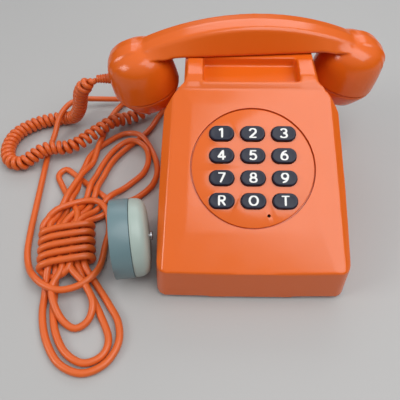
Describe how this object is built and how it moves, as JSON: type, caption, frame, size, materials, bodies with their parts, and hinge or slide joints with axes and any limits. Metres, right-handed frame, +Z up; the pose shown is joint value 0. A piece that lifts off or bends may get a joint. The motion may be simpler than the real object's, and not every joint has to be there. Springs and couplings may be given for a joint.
{
  "type": "push-button desk telephone",
  "caption": "Desk telephone with a round push-button panel, a handset across a two-horned cradle, a coiled handset cord, a tied line cord and a round wall box.",
  "frame": {"origin": "on the table under the middle of the telephone and its handset, without the cords and the wall box", "axes": "+X to the right as the user sees the keys, +Y to the back of the telephone, +Z up"},
  "size_m": [0.3343, 0.3009, 0.12],
  "materials": {
    "orange_plastic": "glossy moulded ABS",
    "cord_jacket": "satin PVC",
    "key_plastic": "semi-gloss with white digits",
    "foot_rubber": "matt",
    "plated_steel": "zinc plated",
    "gong_brass": "turned",
    "board_laminate": "phenolic board",
    "dark_plastic": "matt moulded",
    "box_grey": "semi-gloss",
    "box_cover_grey": "semi-gloss"
  },
  "bodies": {
    "base": {"upper_housing": "orange_plastic", "base_plate": "plated_steel", "foot_front_left": "foot_rubber", "foot_front_right": "foot_rubber", "foot_rear_left": "foot_rubber", "foot_rear_right": "foot_rubber", "housing_screw_1": "plated_steel", "housing_screw_2": "plated_steel", "housing_screw_3": "plated_steel", "housing_screw_4": "plated_steel", "keypad_plate": "orange_plastic", "keypad_contact_mat": "foot_rubber", "keypad_circuit_board": "board_laminate", "main_circuit_board": "board_laminate", "speech_transformer": "dark_plastic", "line_terminal_block": "dark_plastic", "ringer_capacitor": "plated_steel", "ringer_frame": "plated_steel", "gong_left": "gong_brass", "gong_right": "gong_brass", "gong_screw_left": "plated_steel", "gong_screw_right": "plated_steel", "ringer_coil": "dark_plastic", "hook_switch_block": "dark_plastic", "base_curly_grommet": "cord_jacket", "base_line_grommet": "cord_jacket", "coiled_cord": "cord_jacket", "line_cord_start": "cord_jacket", "line_cord_big_loop": "cord_jacket", "line_cord_end": "cord_jacket", "line_cord_upper_loops": "cord_jacket", "line_cord_lower_loops": "cord_jacket", "line_cord_tie": "cord_jacket", "wall_box_base": "box_grey", "wall_box_cover": "box_cover_grey", "wall_box_terminal": "dark_plastic", "wall_box_screw": "plated_steel"},
    "handset": {"handset_shell": "orange_plastic", "mouthpiece_cap": "orange_plastic", "transmitter_capsule": "dark_plastic", "earpiece_cap": "orange_plastic", "receiver_capsule": "dark_plastic", "handset_cord_grommet": "cord_jacket"},
    "plunger_left": {"plunger_left": "dark_plastic"},
    "plunger_right": {"plunger_right": "dark_plastic"},
    "hook_lever": {"hook_lever": "dark_plastic"},
    "clapper": {"clapper": "plated_steel"},
    "key_1": {"key_1": "key_plastic"},
    "key_2": {"key_2": "key_plastic"},
    "key_3": {"key_3": "key_plastic"},
    "key_4": {"key_4": "key_plastic"},
    "key_5": {"key_5": "key_plastic"},
    "key_6": {"key_6": "key_plastic"},
    "key_7": {"key_7": "key_plastic"},
    "key_8": {"key_8": "key_plastic"},
    "key_9": {"key_9": "key_plastic"},
    "key_r": {"key_r": "key_plastic"},
    "key_0": {"key_0": "key_plastic"},
    "key_t": {"key_t": "key_plastic"}
  },
  "joints": [
    {"name": "handset_lift", "type": "slide", "parent": "base", "child": "handset", "axis": [0, 0, 1], "range_m": [0, 0.1]},
    {"name": "plunger_left_travel", "type": "slide", "parent": "base", "child": "plunger_left", "axis": [0, 0, 1], "range_m": [0, 0.004]},
    {"name": "plunger_right_travel", "type": "slide", "parent": "base", "child": "plunger_right", "axis": [0, 0, 1], "range_m": [0, 0.004]},
    {"name": "hook_lever_pivot", "type": "hinge", "parent": "base", "child": "hook_lever", "pos_m": [0, 0.088, 0.082], "axis": [1, 0, 0], "range_deg": [-12, 0]},
    {"name": "clapper_swing", "type": "hinge", "parent": "base", "child": "clapper", "pos_m": [0, -0.0236, 0.0154], "axis": [0, 0, 1], "range_deg": [-4, 4], "stiffness_Nm_per_rad": 0.002},
    {"name": "key_1_press", "type": "slide", "parent": "base", "child": "key_1", "axis": [0, 0.4617, -0.887], "range_m": [0, 0.0022], "stiffness_N_per_m": 150, "springref_m": -0.002},
    {"name": "key_2_press", "type": "slide", "parent": "base", "child": "key_2", "axis": [0, 0.4617, -0.887], "range_m": [0, 0.0022], "stiffness_N_per_m": 150, "springref_m": -0.002},
    {"name": "key_3_press", "type": "slide", "parent": "base", "child": "key_3", "axis": [0, 0.4617, -0.887], "range_m": [0, 0.0022], "stiffness_N_per_m": 150, "springref_m": -0.002},
    {"name": "key_4_press", "type": "slide", "parent": "base", "child": "key_4", "axis": [0, 0.4617, -0.887], "range_m": [0, 0.0022], "stiffness_N_per_m": 150, "springref_m": -0.002},
    {"name": "key_5_press", "type": "slide", "parent": "base", "child": "key_5", "axis": [0, 0.4617, -0.887], "range_m": [0, 0.0022], "stiffness_N_per_m": 150, "springref_m": -0.002},
    {"name": "key_6_press", "type": "slide", "parent": "base", "child": "key_6", "axis": [0, 0.4617, -0.887], "range_m": [0, 0.0022], "stiffness_N_per_m": 150, "springref_m": -0.002},
    {"name": "key_7_press", "type": "slide", "parent": "base", "child": "key_7", "axis": [0, 0.4617, -0.887], "range_m": [0, 0.0022], "stiffness_N_per_m": 150, "springref_m": -0.002},
    {"name": "key_8_press", "type": "slide", "parent": "base", "child": "key_8", "axis": [0, 0.4617, -0.887], "range_m": [0, 0.0022], "stiffness_N_per_m": 150, "springref_m": -0.002},
    {"name": "key_9_press", "type": "slide", "parent": "base", "child": "key_9", "axis": [0, 0.4617, -0.887], "range_m": [0, 0.0022], "stiffness_N_per_m": 150, "springref_m": -0.002},
    {"name": "key_r_press", "type": "slide", "parent": "base", "child": "key_r", "axis": [0, 0.4617, -0.887], "range_m": [0, 0.0022], "stiffness_N_per_m": 150, "springref_m": -0.002},
    {"name": "key_0_press", "type": "slide", "parent": "base", "child": "key_0", "axis": [0, 0.4617, -0.887], "range_m": [0, 0.0022], "stiffness_N_per_m": 150, "springref_m": -0.002},
    {"name": "key_t_press", "type": "slide", "parent": "base", "child": "key_t", "axis": [0, 0.4617, -0.887], "range_m": [0, 0.0022], "stiffness_N_per_m": 150, "springref_m": -0.002}
  ],
  "couplings": [
    {"joint": "plunger_left_travel", "follows": "handset_lift", "ratio": 0.04},
    {"joint": "plunger_right_travel", "follows": "handset_lift", "ratio": 0.04},
    {"joint": "hook_lever_pivot", "follows": "handset_lift", "rad_per_m": -2}
  ]
}
